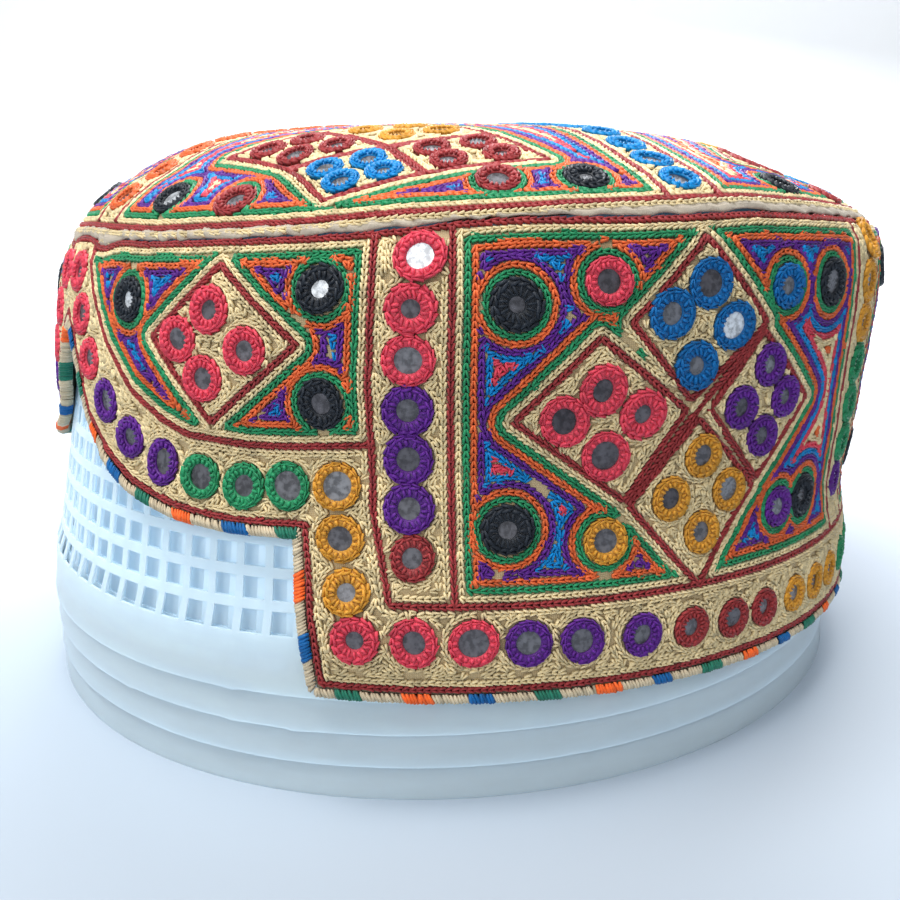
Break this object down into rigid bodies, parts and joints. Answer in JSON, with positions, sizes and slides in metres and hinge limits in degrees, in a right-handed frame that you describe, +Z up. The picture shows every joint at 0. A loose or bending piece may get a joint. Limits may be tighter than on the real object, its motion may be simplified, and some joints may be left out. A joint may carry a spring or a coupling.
{
  "type": "embroidered balochi cap on a stack of plastic baskets",
  "caption": "Round embroidered cap with mirror work, a domed crown and an arched front notch, set over nested upturned plastic baskets.",
  "frame": {"origin": "middle of the foot of the lowest basket and the cap's overhang, on the floor", "axes": "+Z up, -Y towards the arched front of the cap, +X to the wearer's left"},
  "size_m": [0.1978, 0.2046, 0.1205],
  "materials": {
    "embroidered_cloth": "chain-stitched thread over cotton",
    "piping_cloth": "gathered off-white cotton",
    "whipped_thread": "whipped silky thread in colour blocks",
    "white_plastic": "thin moulded translucent white",
    "mirror_glass": "small flat mirrors"
  },
  "bodies": {
    "root": {"side_band": "embroidered_cloth", "crown": "embroidered_cloth", "crown_piping": "piping_cloth", "hem_edging": "whipped_thread", "basket_1": "white_plastic", "basket_2": "white_plastic", "basket_3": "white_plastic", "basket_4": "white_plastic"}
  },
  "joints": []
}
